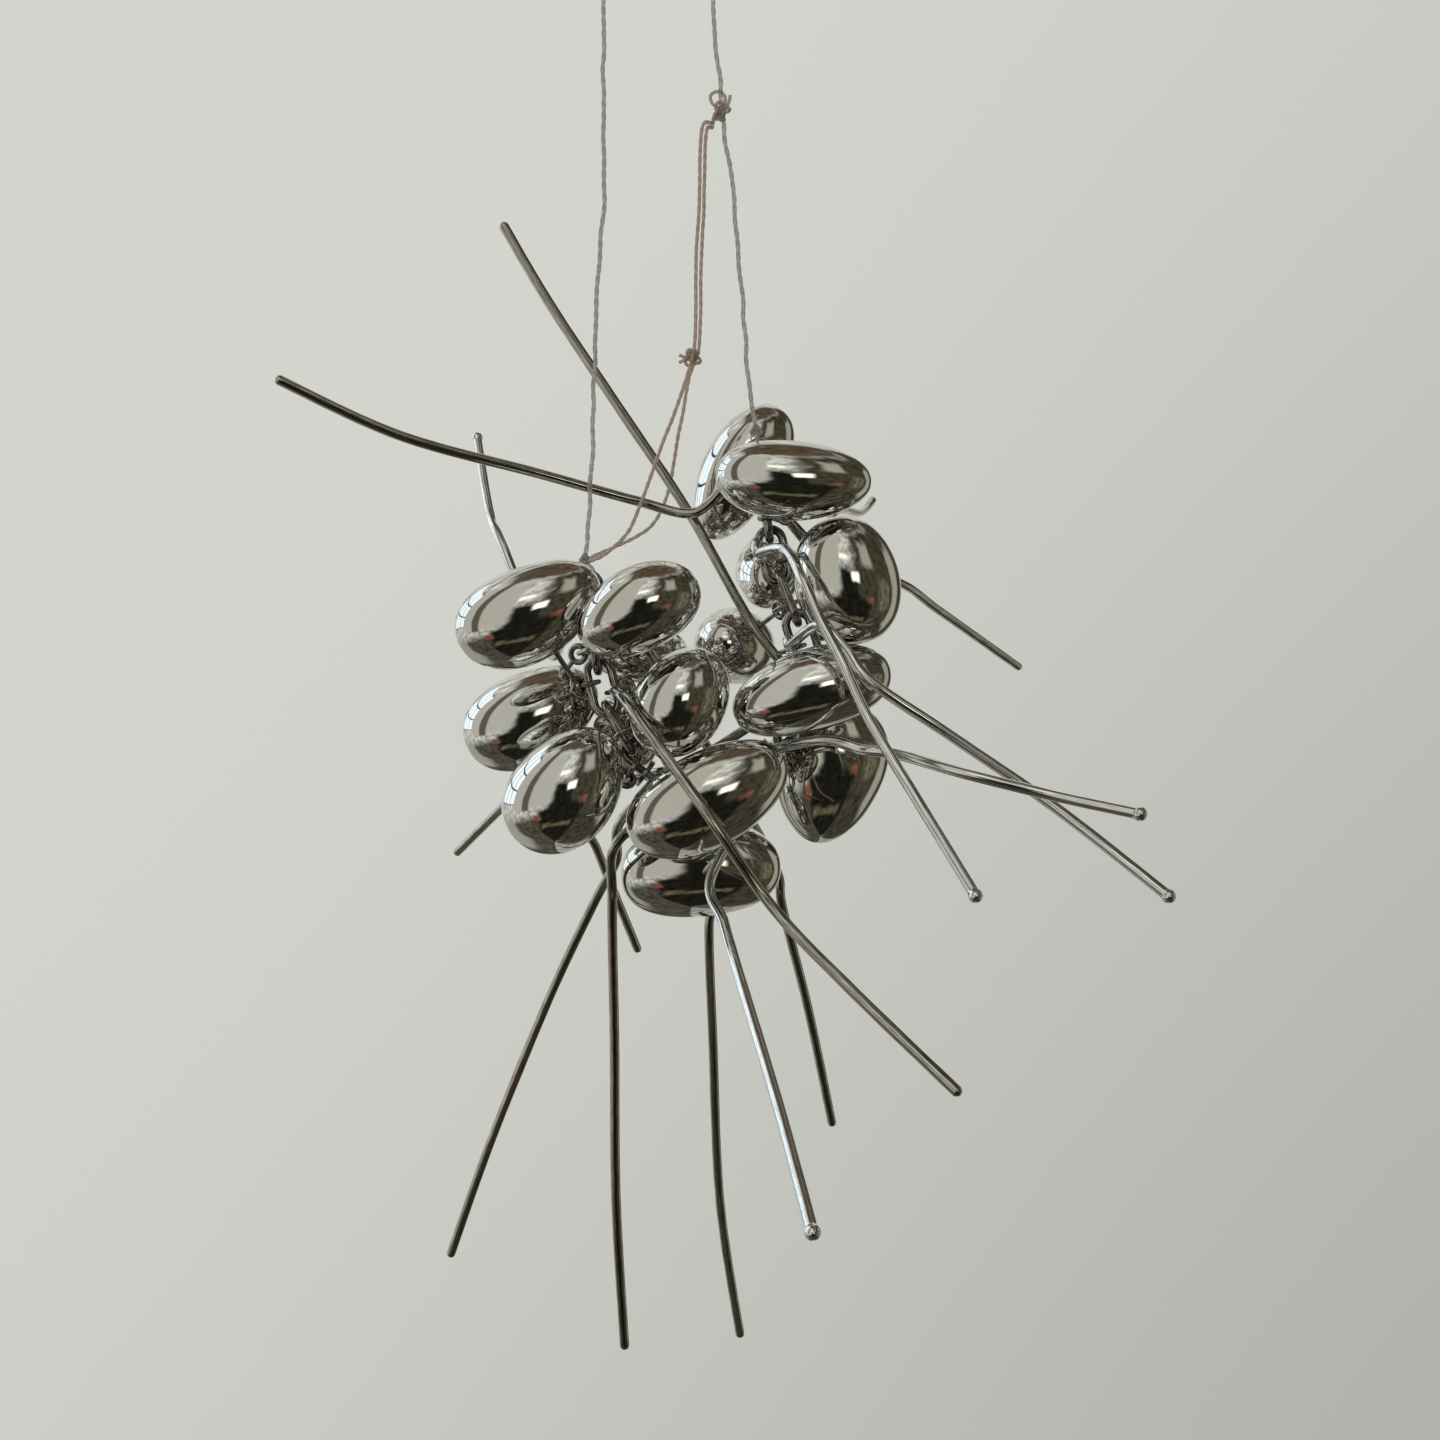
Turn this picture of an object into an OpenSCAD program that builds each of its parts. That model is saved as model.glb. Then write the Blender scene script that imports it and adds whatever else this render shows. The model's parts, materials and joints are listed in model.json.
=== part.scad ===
// Hanging pebble mobile: polished metal pebbles and long bent pins on a loop of chain,
// hung from two ceiling hooks by threads.
// Z points up and Z = 0 is the ceiling. X runs from hook to hook, and the viewer looks along +Y.

/* [Ceiling hooks] */
// Distance between the two hooks
hook_spacing = 14; // [13:0.5:16]
// Diameter of a hook's wire
hook_wire = 1.6; // [1.4:0.1:1.8]
// Radius of a hook's bend, to the middle of its wire
hook_bend = 3; // [2.6:0.1:3.2]
// Radius of the screw shank
shank_r = 1.25; // [1:0.05:1.5]
// Length of the screw shank
shank_length = 10; // [8:1:14]

/* [Threads] */
// Diameter of a hanging thread
thread_d = 0.6; // [0.5:0.05:0.7]
// Diameter of the tan cord
cord_d = 0.5; // [0.4:0.05:0.6]

/* [Chain] */
// Wire diameter of a chain link
link_wire = 1.1; // [1:0.05:1.2]
// Inside width of a chain link
link_gap = 2; // [1.9:0.05:2.1]
// Distance from link to link
link_pitch = 5.6; // [5.5:0.05:5.7]

/* [Jump rings] */
// Radius of a jump ring, to the middle of its wire
ring_r = 1.65; // [1.65:0.05:1.7]
// Wire diameter of a jump ring
ring_wire = 0.6; // [0.5:0.05:0.6]

/* [Pins] */
// Wire diameter of a pin
pin_wire = 1.3; // [1.1:0.05:1.3]
// Radius of a pin's eye, to the middle of its wire
pin_eye_r = 1.2; // [1.15:0.05:1.25]

/* [Pebbles] */
// Wire diameter of a pebble's eye and its peg
eye_wire = 0.8; // [0.7:0.05:0.8]
// Radius of a pebble's eye, to the middle of its wire
eye_r = 1.05; // [1:0.05:1.1]

/* [Hidden] */
$fn = 48;

// Play between two wires that hang in each other, and between two chain links
play = 0.1;
link_play = 0.3;

// The hooks stand on the X axis, each with its bend in the XZ plane
collar_r = 2.8;
collar_h = 1;
stem_length = 3;
stem_r = 1;
hook_ball_r = 1;
bend_z = -(collar_h + stem_length + hook_bend);
hook_tip_turn = 70;
tip_length = 2.5;
hook_x = [-hook_spacing / 2, hook_spacing / 2];

// The chain hangs in one plane, as a U. A link's heading is its angle from +X.
chain_start = [-9, -0.3, -90];
link_headings = [-84, -82, -76, -60, -36, -10, 14, 38, 62, 86, 108, 112, 104, 98, 96];
link_count = len(link_headings);
link_half = (link_pitch + link_wire + link_play) / 2;
bar_offset = (link_gap + link_wire) / 2;
straight_half = link_half - bar_offset;
slot_step = 0.8;

// Lengths along the reach from a bar of a link, through a jump ring, to an eye
ring_reach = ring_r - ring_wire / 2 - link_wire / 2 - play;
grip_reach = ring_reach + ring_r;
pin_eye_reach = grip_reach + pin_eye_r - (pin_wire + ring_wire) / 2 - play;
pebble_eye_reach = grip_reach + eye_r - (eye_wire + ring_wire) / 2 - play;

// A pebble's peg, and how far short of the pebble's middle it ends
peg_d = 0.68;
peg_short = 3;

// A loop of thread, and the knot that closes it
loop_r = 1.35;
knot_r = 0.75;

// The pebbles. Each row holds the link that the pebble hangs from, the angle round the link at
// which its ring stands (0 is into the U and 90 is away from the viewer), the half of the link
// (-1 or 1), the pebble's middle, the direction of its long axis (its heading from +X, its dip
// away from the viewer and its roll), its length, width and thickness, how much fatter its outer
// end is, and how far it is bent.
pebbles = [
    [2, 240, -1, [-15.6, -7.3, -94.7], [207, 0, 0], [19.2, 11.8, 10.3], 0.12, 0.6],
    [1, 300, 1, [-1.8, -11.3, -94.8], [28, 0, 0], [16.1, 10.3, 9.8], 0.05, 0.3],
    [1, 60, -1, [-3.5, 9.2, -98.5], [-10, 0, 0], [15, 9, 9], 0.05, 0],
    [1, 160, 1, [-16.8, 5.7, -107.5], [207, 0, 0], [19.1, 12.4, 10.9], 0.12, 0.4],
    [4, 100, 1, [-4.5, 8.2, -109.5], [-70, 0, 0], [11, 8.5, 8.5], 0.05, 0],
    [4, 220, -1, [-11, -7.8, -116.5], [229, 0, 0], [17.5, 13, 12], 0.1, 0.4],
    [3, 320, 1, [3.2, -8.8, -105.8], [56, 0, 0], [14.5, 11.3, 11], -0.05, 0],
    [6, 160, -1, [5.5, 3.2, -127.5], [4, 0, 0], [21, 13, 11], -0.03, 0.8],
    [5, 260, -1, [6.5, -10.8, -117.4], [208, 0, 0], [21.3, 11.9, 9.9], 0.06, 0.4],
    [8, 120, -1, [22.4, 8.7, -114.7], [-100, 0, 0], [20, 15.4, 11.3], -0.22, 0],
    [8, 240, 1, [19.2, -7.8, -104.5], [17, 0, 0], [20.3, 10.3, 10], 0.03, 0.4],
    [11, 60, -1, [10, 11.2, -98], [0, 70, 0], [15, 10.5, 10.5], 0, 0],
    [13, 200, -1, [23.8, -5.3, -90.7], [-75, 0, 0], [16.3, 13.3, 10.9], 0.02, 0],
    [12, 100, -1, [14.5, 11.2, -88], [90, 60, 0], [14, 9, 9], 0, 0],
    [14, 220, -1, [17, -7.8, -78.5], [-3, 0, 0], [19.4, 9.8, 9.5], -0.08, -0.3],
    [14, 100, 1, [11, 11.2, -74.5], [60, 0, 0], [20.4, 10.6, 10], 0.12, 0.6],
];

// The pins. Each row holds the link, the angle round it and the half of it, as for a pebble, and
// then the route of the wire from near the eye to the tip.
pins = [
    [0, 120, 1, [[-15.5, 15.2, -99], [-23, 22.2, -83], [-25.5, 26.2, -77.5], [-28.5, 33.2, -65]]],
    [4, 320, -1, [[-5, -4.3, -104.5], [-2.7, -12.3, -106.5], [5.5, -18.3, -117.4], [14, -18.8, -129.5],
        [22.5, -23.8, -138], [34, -29.8, -148.5]]],
    [3, 140, -1, [[-16, 16.2, -114], [-23, 27.2, -120], [-32.5, 38.2, -128.5]]],
    [7, 80, 1, [[-12, 20.2, -118.5], [-9.8, 26.2, -127], [-4.5, 38.2, -143.5]]],
    [5, 180, 1, [[-5, -0.8, -123.5], [-6, 3.2, -131.5], [-6, 7.2, -150.5],
        [-6, 10.2, -172.5], [-5, 13.2, -194]]],
    [8, 20, -1, [[-4, 6.2, -120], [-6, 10.2, -127], [-9.5, 15.2, -133.5], [-16.5, 22.2, -148],
        [-25.5, 28.2, -169.5], [-32.5, 33.2, -188.5]]],
    [7, 220, -1, [[7, -8.8, -127], [8.5, -14.8, -132], [10, -20.8, -136.5],
        [14, -34.8, -148], [17, -48.8, -157.5]]],
    [2, 60, 1, [[7, 10.7, -126], [6.5, 12.2, -136.5], [7, 17.2, -152.5],
        [8, 23.2, -177], [11, 28.2, -198.5]]],
    [0, 20, 1, [[9.5, 11.2, -117], [15.5, 10.7, -128], [16.5, 12.2, -133.5], [20.5, 20.2, -149],
        [24.5, 28.2, -167.5]]],
    [6, 280, 1, [[20, -9.8, -110.5], [24.7, -14.3, -111.5], [28.7, -16.3, -112],
        [35.5, -20.8, -114], [45.5, -22.8, -116.5], [55, -26.8, -118.5]]],
    [9, 20, 1, [[11.5, 2.7, -94.5], [4, 4.2, -81], [-5, 4.2, -67.5], [-14, 4.2, -54], [-20.5, 4.2, -43]]],
    [10, 280, -1, [[20, -9.8, -96.5], [23, -12.3, -99.5], [26, -13.8, -103.5],
        [35.5, -14.3, -110], [47.5, -16.8, -118.5], [59.5, -21.8, -128.5]]],
    [13, 140, 1, [[23, 7.2, -87.5], [34, 26.2, -88], [41.5, 36.2, -91.5], [57, 53.2, -99.5]]],
    [12, 280, 1, [[16, -7.3, -87], [17.9, -11.3, -91], [19.9, -13.3, -96], [22.3, -15.3, -101], [25.4, -16.8, -108],
        [30.5, -19.8, -117], [36.5, -26.8, -128]]],
    [14, 20, -1, [[4.5, 1.8, -81.3], [-3, 2.2, -79.6], [-15, 0.2, -76.5], [-32, -4.8, -72.5],
        [-46, -9.8, -66.5]]],
    [10, 120, 1, [[24, 23.2, -79], [30, 43.2, -75.5], [33, 53.2, -72]]],
];

// Routes of the threads and of the tan cord's two strands
left_thread_route = [[-7, 0, -12.5], [-6.8, 0, -20], [-7, 0, -30], [-6.8, -0.1, -40], [-7.5, -0.1, -50],
    [-8, -0.2, -60], [-8.2, -0.2, -70], [-8.6, -0.3, -80], [-9.2, -0.3, -87]];
right_thread_route = [[7, 0, -12.5], [7, 0, -17], [7.6, 0, -23], [8.4, 0, -31], [9.3, -0.1, -38],
    [10.2, -0.2, -47], [11, -0.2, -56], [11.7, -0.3, -65], [12.5, -0.3, -70.6]];
front_strand_route = [[7, -0.8, -32], [5.7, -1.2, -33], [5.4, -1.3, -42], [5, -1.5, -50], [4.8, -1.6, -60],
    [4, -1.8, -64], [2, -2, -70], [0, -2.2, -75], [-1.5, -2.4, -79.5], [-3.5, -2.4, -84], [-6.5, -2, -87],
    [-8.8, -0.7, -87.8]];
back_strand_route = [[7, 0.8, -32], [6.2, 0.2, -33], [6, 0.1, -42], [5.6, 0, -50], [5.4, 0, -60],
    [4, 1, -64], [3, 2, -69], [2, 5, -73.5], [1.4, 6, -77], [0.5, 5.7, -80], [-1, 5.2, -82.5],
    [-3, 4.7, -84], [-6, 4.2, -85.5], [-9, 3.2, -87], [-10.5, 2, -88.3], [-9.6, 0.4, -88.2]];

PEBBLE_NODES = [for (i = [1 : len(pebbles)]) str("pebble_", i)];
EYE_NODES = [for (i = [1 : len(pebbles)]) str("pebble_eye_", i)];
PIN_NODES = [for (i = [1 : len(pins)]) str("pin_", i)];

steel = "silver";
bright = "gainsboro";
thread_colour = "whitesmoke";
cord_colour = "tan";

// ---- Geometry helpers ----

function unit(v) = v / norm(v);
function across(v, t) = v - (v * t) * t;

// A smooth curve through points, with steps pieces between each two
function curve_point(p, i, t) =
    let (n = len(p) - 1, a = p[max(i - 1, 0)], b = p[i], c = p[i + 1], d = p[min(i + 2, n)])
    0.5 * (2 * b + (c - a) * t + (2 * a - 5 * b + 4 * c - d) * t * t + (3 * b - a - 3 * c + d) * t * t * t);
function curve(p, steps) = concat(
    [for (i = [0 : len(p) - 2]) for (s = [0 : steps - 1]) curve_point(p, i, s / steps)], [p[len(p) - 1]]);

// The sideways direction at each point of a wire, carried along it without twist
function carried(tangents, i, s) = i == len(tangents) ? [] :
    let (next = unit(across(s, tangents[i]))) concat([next], carried(tangents, i + 1, next));

// A solid round wire along points, with a radius at each one
module wire(points, radii, sides) {
    n = len(points);
    tangents = [for (i = [0 : n - 1]) unit(points[min(i + 1, n - 1)] - points[max(i - 1, 0)])];
    first_side = cross(tangents[0], abs(tangents[0][1]) < 0.7 ? [0, 1, 0] : [1, 0, 0]);
    sideways = carried(tangents, 0, first_side);
    rings = [for (i = [0 : n - 1]) let (s = sideways[i], u = cross(s, tangents[i]))
        for (j = [0 : sides - 1]) points[i] + radii[i] * (cos(360 * j / sides) * s + sin(360 * j / sides) * u)];
    walls = [for (i = [0 : n - 2]) for (j = [0 : sides - 1])
        let (a = i * sides + j, b = i * sides + (j + 1) % sides) [a, b, b + sides, a + sides]];
    first = [for (j = [sides - 1 : -1 : 0]) j];
    last = [for (j = [0 : sides - 1]) (n - 1) * sides + j];
    polyhedron(rings, concat(walls, [first, last]), convexity = 6);
}

// A cord of even thickness
module cord(route, d, steps) {
    points = curve(route, steps);
    wire(points, [for (p = points) d / 2], 8);
}

// Turns +Z to an axis
module facing(axis) {
    rotate([0, acos(unit(axis)[2]), atan2(axis[1], axis[0])]) children();
}

module torus(r, wire_r) {
    rotate_extrude() translate([r, 0]) circle(wire_r);
}

// The round eye on the end of a pin or a pebble's peg, with the seam of the ring on the far side
module eye(at, middle, r, wire_r) {
    axis = swing_axis(at);
    az = atan2(axis[1], axis[0]);
    tilt = acos(axis[2]);
    v = -at[1];
    flat_x = cos(az) * v[0] + sin(az) * v[1];
    flat_y = cos(az) * v[1] - sin(az) * v[0];
    translate(middle) facing(axis) rotate([0, 0, atan2(flat_y, cos(tilt) * flat_x - sin(tilt) * v[2])])
        torus(r, wire_r);
}

// ---- The chain, and the places that hang from it ----

function heading(k) = [cos(link_headings[k]), 0, sin(link_headings[k])];
function sum_headings(k) = k == 0 ? [0, 0, 0] : sum_headings(k - 1) + heading(k - 1);
function link_middle(k) = chain_start + link_pitch * (sum_headings(k) + heading(k) / 2);
function inward(k) = cross(heading(k), [0, 1, 0]);
function link_side(k) = k % 2 == 0 ? inward(k) : [0, 1, 0];

// What hangs from a place on the chain: [middle of the bar, reach direction, link heading]
function place(row) =
    let (k = row[0], reach = cos(row[1]) * inward(k) + sin(row[1]) * [0, 1, 0],
        side = reach * link_side(k) < -0.001 ? -1 : 1,
        bar = link_middle(k) + side * bar_offset * link_side(k) + row[2] * slot_step * heading(k))
    [bar, reach, heading(k)];
function swing_point(at) = at[0] + grip_reach * at[1];
function swing_axis(at) = cross(at[2], at[1]);

// The point on an eye's wire from which its peg or pin leaves for a target
function eye_root(at, middle, r, target) = middle + r * unit(across(target - middle, swing_axis(at)));

// ---- Ceiling hooks ----

module bend(angle) {
    rotate_extrude(angle = angle) translate([hook_bend, 0]) circle(d = hook_wire);
}

module hook(x) {
    color(bright) translate([x, 0, 0]) {
        cylinder(r = shank_r, h = shank_length - tip_length);
        translate([0, 0, shank_length - tip_length]) cylinder(r1 = shank_r, r2 = 0.2, h = tip_length);
        translate([0, 0, -collar_h]) cylinder(r = collar_r, h = collar_h);
        translate([0, 0, -collar_h - stem_length]) {
            cylinder(r = stem_r, h = stem_length + collar_h / 2);
            sphere(stem_r + 0.15);
        }
        translate([0, 0, bend_z]) rotate([90, 0, 0]) {
            rotate([0, 0, 90]) bend(180);
            rotate([0, 0, 270]) bend(hook_tip_turn);
            rotate([0, 0, 270 + hook_tip_turn]) translate([hook_bend, 0, 0]) sphere(hook_ball_r);
        }
    }
}

// ---- Threads and cord ----

// A loop round a hook's wire or a link's end, closed by a knot
module thread_loop(top, axis, down) {
    translate(top - loop_r * down) facing(axis) torus(loop_r, thread_d / 2);
    translate(top - (2 * loop_r + thread_d / 2) * down) sphere(knot_r);
}

module thread_knots() {
    hook_seat = bend_z - hook_bend + (hook_wire + thread_d) / 2 + play;
    grip = (link_wire + thread_d) / 2 + play;
    last = link_count - 1;
    color(thread_colour) {
        for (x = hook_x) thread_loop([x, 0, hook_seat], [1, 0, 0], [0, 0, 1]);
        thread_loop(link_middle(0) - (link_half - link_wire / 2 - grip) * heading(0), link_side(0), heading(0));
        thread_loop(link_middle(last) + (link_half - link_wire / 2 - grip) * heading(last), link_side(last),
            -heading(last));
    }
}

module upper_cord_knot() {
    color(cord_colour) translate([8.2, 0.1, -30]) {
        sphere(1.3);
        translate([-1, 0, 1.4]) sphere(0.9);
    }
}

module lower_cord_knot() {
    color(cord_colour) translate([4.5, -0.8, -62]) sphere(1.3);
}

// ---- Chain and jump rings ----

module chain_link(k) {
    translate(link_middle(k)) rotate([0, -link_headings[k], 0]) rotate([k % 2 == 0 ? 90 : 0, 0, 0]) {
        for (s = [-1, 1]) {
            translate([0, s * bar_offset, 0]) rotate([0, 90, 0])
                cylinder(d = link_wire, h = 2 * straight_half, center = true);
            translate([s * straight_half, 0, 0]) rotate([0, 0, s > 0 ? -90 : 90])
                rotate_extrude(angle = 180) translate([bar_offset, 0]) circle(d = link_wire);
        }
    }
}

module chain_links() {
    color(steel) for (k = [0 : link_count - 1]) chain_link(k);
}

module jump_ring(at) {
    translate(at[0] + ring_reach * at[1]) facing(at[2]) torus(ring_r, ring_wire / 2);
}

module jump_rings() {
    color(steel) {
        for (i = [0 : len(pebbles) - 1]) jump_ring(place(pebbles[i]));
        for (i = [0 : len(pins) - 1]) jump_ring(place(pins[i]));
    }
}

// ---- Pebbles ----

// An egg along X, with its middle at the origin
module egg(size, fatter, bend) {
    rows = 11;
    sides = 20;
    points = concat([[-size[0] / 2, 0, 0]],
        [for (i = [1 : rows - 1]) let (a = 180 * i / rows, r = sin(a) * (1 - fatter * cos(a)))
            for (j = [0 : sides - 1]) let (b = 360 * j / sides)
                [-size[0] / 2 * cos(a), size[2] / 2 * r * cos(b),
                    size[1] / 2 * r * sin(b) + bend * (sin(a) * sin(a) - 0.5) * sin(a)]],
        [[size[0] / 2, 0, 0]]);
    last = len(points) - 1;
    walls = [for (i = [0 : rows - 3]) for (j = [0 : sides - 1])
        let (a = 1 + i * sides + j, b = 1 + i * sides + (j + 1) % sides)
        each [[a, b + sides, b], [a, a + sides, b + sides]]];
    inner_end = [for (j = [0 : sides - 1]) [0, 1 + j, 1 + (j + 1) % sides]];
    outer_end = [for (j = [0 : sides - 1])
        [last, last - sides + (j + 1) % sides, last - sides + j]];
    polyhedron(points, concat(walls, inner_end, outer_end), convexity = 4);
}

module pebble(i) {
    p = pebbles[i];
    color(bright) translate(p[3]) rotate([0, -p[4][0], 0]) rotate([0, 0, p[4][1]]) rotate([p[4][2], 0, 0])
        egg(p[5], p[6], p[7]);
}

// The eye and the peg that is pressed into the pebble
module pebble_eye(i) {
    at = place(pebbles[i]);
    middle = at[0] + pebble_eye_reach * at[1];
    root = eye_root(at, middle, eye_r, pebbles[i][3]);
    way = pebbles[i][3] - root;
    color(steel) {
        eye(at, middle, eye_r, eye_wire / 2);
        translate(root) facing(way) cylinder(d = peg_d, h = norm(way) - peg_short);
    }
}

// ---- Pins ----

module pin(i) {
    at = place(pins[i]);
    middle = at[0] + pin_eye_reach * at[1];
    route = pins[i][3];
    line = curve(concat([eye_root(at, middle, pin_eye_r, route[0])], route), 3);
    tip = line[len(line) - 1];
    way = unit(tip - line[len(line) - 2]);
    r = pin_wire / 2;
    color(steel) {
        eye(at, middle, pin_eye_r, r);
        wire(concat(line, [tip + 0.5 * r * way, tip + 0.85 * r * way]),
            concat([0.75 * r], [for (j = [2 : len(line)]) 0.98 * r], [0.8 * r, 0.4 * r]), 8);
    }
}

hook(hook_x[0]);  // left_hook
hook(hook_x[1]);  // right_hook
color(thread_colour) cord(left_thread_route, thread_d, 2);  // left_thread
color(thread_colour) cord(right_thread_route, thread_d, 2);  // right_thread
thread_knots();
color(cord_colour) cord(front_strand_route, cord_d, 2);  // front_cord_strand
color(cord_colour) cord(back_strand_route, cord_d, 2);  // back_cord_strand
upper_cord_knot();
lower_cord_knot();
chain_links();
jump_rings();
for (i = [0 : len(pebbles) - 1]) {
    pebble(i);
    pebble_eye(i);
}
for (i = [0 : len(pins) - 1]) {
    pin(i);
}
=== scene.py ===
"""A hanging mobile of mirror-polished pebbles and long bent pins, in its CAD frame.

The camera and the cords come first, then the pins, the pebbles, the hooks and the chain, and
then the floor and the light. The tables are in millimetres and repeat the part's own layout.
"""

import json
import math

import bpy
from mathutils import Matrix, Vector, noise


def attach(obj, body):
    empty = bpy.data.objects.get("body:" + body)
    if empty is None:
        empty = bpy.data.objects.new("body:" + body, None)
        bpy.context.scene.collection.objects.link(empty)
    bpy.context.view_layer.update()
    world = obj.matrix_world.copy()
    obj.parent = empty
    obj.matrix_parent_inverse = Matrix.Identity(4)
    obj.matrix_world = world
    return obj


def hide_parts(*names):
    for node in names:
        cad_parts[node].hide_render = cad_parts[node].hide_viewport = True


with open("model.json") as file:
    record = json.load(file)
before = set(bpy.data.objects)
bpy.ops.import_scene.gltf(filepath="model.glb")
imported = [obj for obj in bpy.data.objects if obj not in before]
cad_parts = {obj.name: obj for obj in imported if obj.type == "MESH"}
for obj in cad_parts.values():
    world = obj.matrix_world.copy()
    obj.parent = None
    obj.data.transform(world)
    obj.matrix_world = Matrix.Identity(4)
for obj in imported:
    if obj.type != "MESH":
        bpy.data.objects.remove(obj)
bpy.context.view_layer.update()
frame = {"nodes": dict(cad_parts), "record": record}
scene = bpy.context.scene

MM = 0.001
TURN = 2 * math.pi
HANGING = "threads_and_chain"
HOOKS = "ceiling_hooks"

# ---- Sizes, in millimetres ----

THREAD_D = 0.6
CORD_D = 0.5
PIN_R = 0.65
PIN_EYE_R = 1.2
BALL_TIP_R = 0.82
HOOK_X = 7
HOOK_BEND = 3
HOOK_WIRE_R = 0.8
HOOK_BEND_Z = -7
STEM_R = 1
COLLAR_R = 2.8
COLLAR_H = 1
SHANK_R = 1.25
SHANK_CORE_R = 0.9
SHANK_LENGTH = 10
SCREW_PITCH = 1.1
LOOP_R = 1.35
FLOOR_R = 3000
FLOOR_DROP = 2400

# ---- How finely curves and surfaces are cut ----

CORD_STEPS = 12
PIN_STEPS = 24
KNOT_STEPS = 8
KNOT_GAP = 0.15
PIN_GAP = 0.3
HOOK_GAP = 0.25
TREFOIL_POINTS = 72
TIP_RINGS = 14
PEBBLE_ROWS = 84
PEBBLE_SIDES = 96

# ---- The camera ----

CAMERA_AT = (0.008, -0.1918, -0.108)
CAMERA_LENS = 37.5
CAMERA_SENSOR = 36

# Each pebble: middle, (heading, dip, roll) in degrees, (length, width, thickness), how much
# fatter its outer end is, how far it is bent, and how square its ends are.
PEBBLES = [
    ((-15.6, -7.3, -94.7), (207, 0, 0), (19.2, 11.8, 10.3), 0.12, 0.6, 0.95),
    ((-1.8, -11.3, -94.8), (28, 0, 0), (16.1, 10.3, 9.8), 0.05, 0.3, 0.95),
    ((-3.5, 9.2, -98.5), (-10, 0, 0), (15, 9, 9), 0.05, 0, 1),
    ((-16.8, 5.7, -107.5), (207, 0, 0), (19.1, 12.4, 10.9), 0.12, 0.4, 0.93),
    ((-4.5, 8.2, -109.5), (-70, 0, 0), (11, 8.5, 8.5), 0.05, 0, 1),
    ((-11, -7.8, -116.5), (229, 0, 0), (17.5, 13, 12), 0.1, 0.4, 0.95),
    ((3.2, -8.8, -105.8), (56, 0, 0), (14.5, 11.3, 11), -0.05, 0, 0.97),
    ((5.5, 3.2, -127.5), (4, 0, 0), (21, 13, 11), -0.03, 0.8, 0.85),
    ((6.5, -10.8, -117.4), (208, 0, 0), (21.3, 11.9, 9.9), 0.06, 0.4, 0.93),
    ((22.4, 8.7, -114.7), (-100, 0, 0), (20, 15.4, 11.3), -0.22, 0, 0.97),
    ((19.2, -7.8, -104.5), (17, 0, 0), (20.3, 10.3, 10), 0.03, 0.4, 0.9),
    ((10, 11.2, -98), (0, 70, 0), (15, 10.5, 10.5), 0, 0, 1),
    ((23.8, -5.3, -90.7), (-75, 0, 0), (16.3, 13.3, 10.9), 0.02, 0, 0.88),
    ((14.5, 11.2, -88), (90, 60, 0), (14, 9, 9), 0, 0, 1),
    ((17, -7.8, -78.5), (-3, 0, 0), (19.4, 9.8, 9.5), -0.08, -0.3, 0.93),
    ((11, 11.2, -74.5), (60, 0, 0), (20.4, 10.6, 10), 0.12, 0.6, 0.95),
]

# Each pin: whether it is the brighter wire with a ball tip, and the route of its wire from
# near the eye to the tip.
PINS = [
    (True, [(-15.5, 15.2, -99), (-23, 22.2, -83), (-25.5, 26.2, -77.5), (-28.5, 33.2, -65)]),
    (False, [(-5, -4.3, -104.5), (-2.7, -12.3, -106.5), (5.5, -18.3, -117.4),
             (14, -18.8, -129.5), (22.5, -23.8, -138), (34, -29.8, -148.5)]),
    (False, [(-16, 16.2, -114), (-23, 27.2, -120), (-32.5, 38.2, -128.5)]),
    (False, [(-12, 20.2, -118.5), (-9.8, 26.2, -127), (-4.5, 38.2, -143.5)]),
    (False, [(-5, -0.8, -123.5), (-6, 3.2, -131.5), (-6, 7.2, -150.5), (-6, 10.2, -172.5),
             (-5, 13.2, -194)]),
    (False, [(-4, 6.2, -120), (-6, 10.2, -127), (-9.5, 15.2, -133.5), (-16.5, 22.2, -148),
             (-25.5, 28.2, -169.5), (-32.5, 33.2, -188.5)]),
    (True, [(7, -8.8, -127), (8.5, -14.8, -132), (10, -20.8, -136.5), (14, -34.8, -148),
            (17, -48.8, -157.5)]),
    (False, [(7, 10.7, -126), (6.5, 12.2, -136.5), (7, 17.2, -152.5), (8, 23.2, -177),
             (11, 28.2, -198.5)]),
    (False, [(9.5, 11.2, -117), (15.5, 10.7, -128), (16.5, 12.2, -133.5), (20.5, 20.2, -149),
             (24.5, 28.2, -167.5)]),
    (True, [(20, -9.8, -110.5), (24.7, -14.3, -111.5), (28.7, -16.3, -112), (35.5, -20.8, -114),
            (45.5, -22.8, -116.5), (55, -26.8, -118.5)]),
    (False, [(11.5, 2.7, -94.5), (4, 4.2, -81), (-5, 4.2, -67.5), (-14, 4.2, -54),
             (-20.5, 4.2, -43)]),
    (True, [(20, -9.8, -96.5), (23, -12.3, -99.5), (26, -13.8, -103.5), (35.5, -14.3, -110),
            (47.5, -16.8, -118.5), (59.5, -21.8, -128.5)]),
    (False, [(23, 7.2, -87.5), (34, 26.2, -88), (41.5, 36.2, -91.5), (57, 53.2, -99.5)]),
    (True, [(16, -7.3, -87), (17.9, -11.3, -91), (19.9, -13.3, -96), (22.3, -15.3, -101),
            (25.4, -16.8, -108), (30.5, -19.8, -117), (36.5, -26.8, -128)]),
    (False, [(4.5, 1.8, -81.3), (-3, 2.2, -79.6), (-15, 0.2, -76.5), (-32, -4.8, -72.5),
             (-46, -9.8, -66.5)]),
    (False, [(24, 23.2, -79), (30, 43.2, -75.5), (33, 53.2, -72)]),
]

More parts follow.
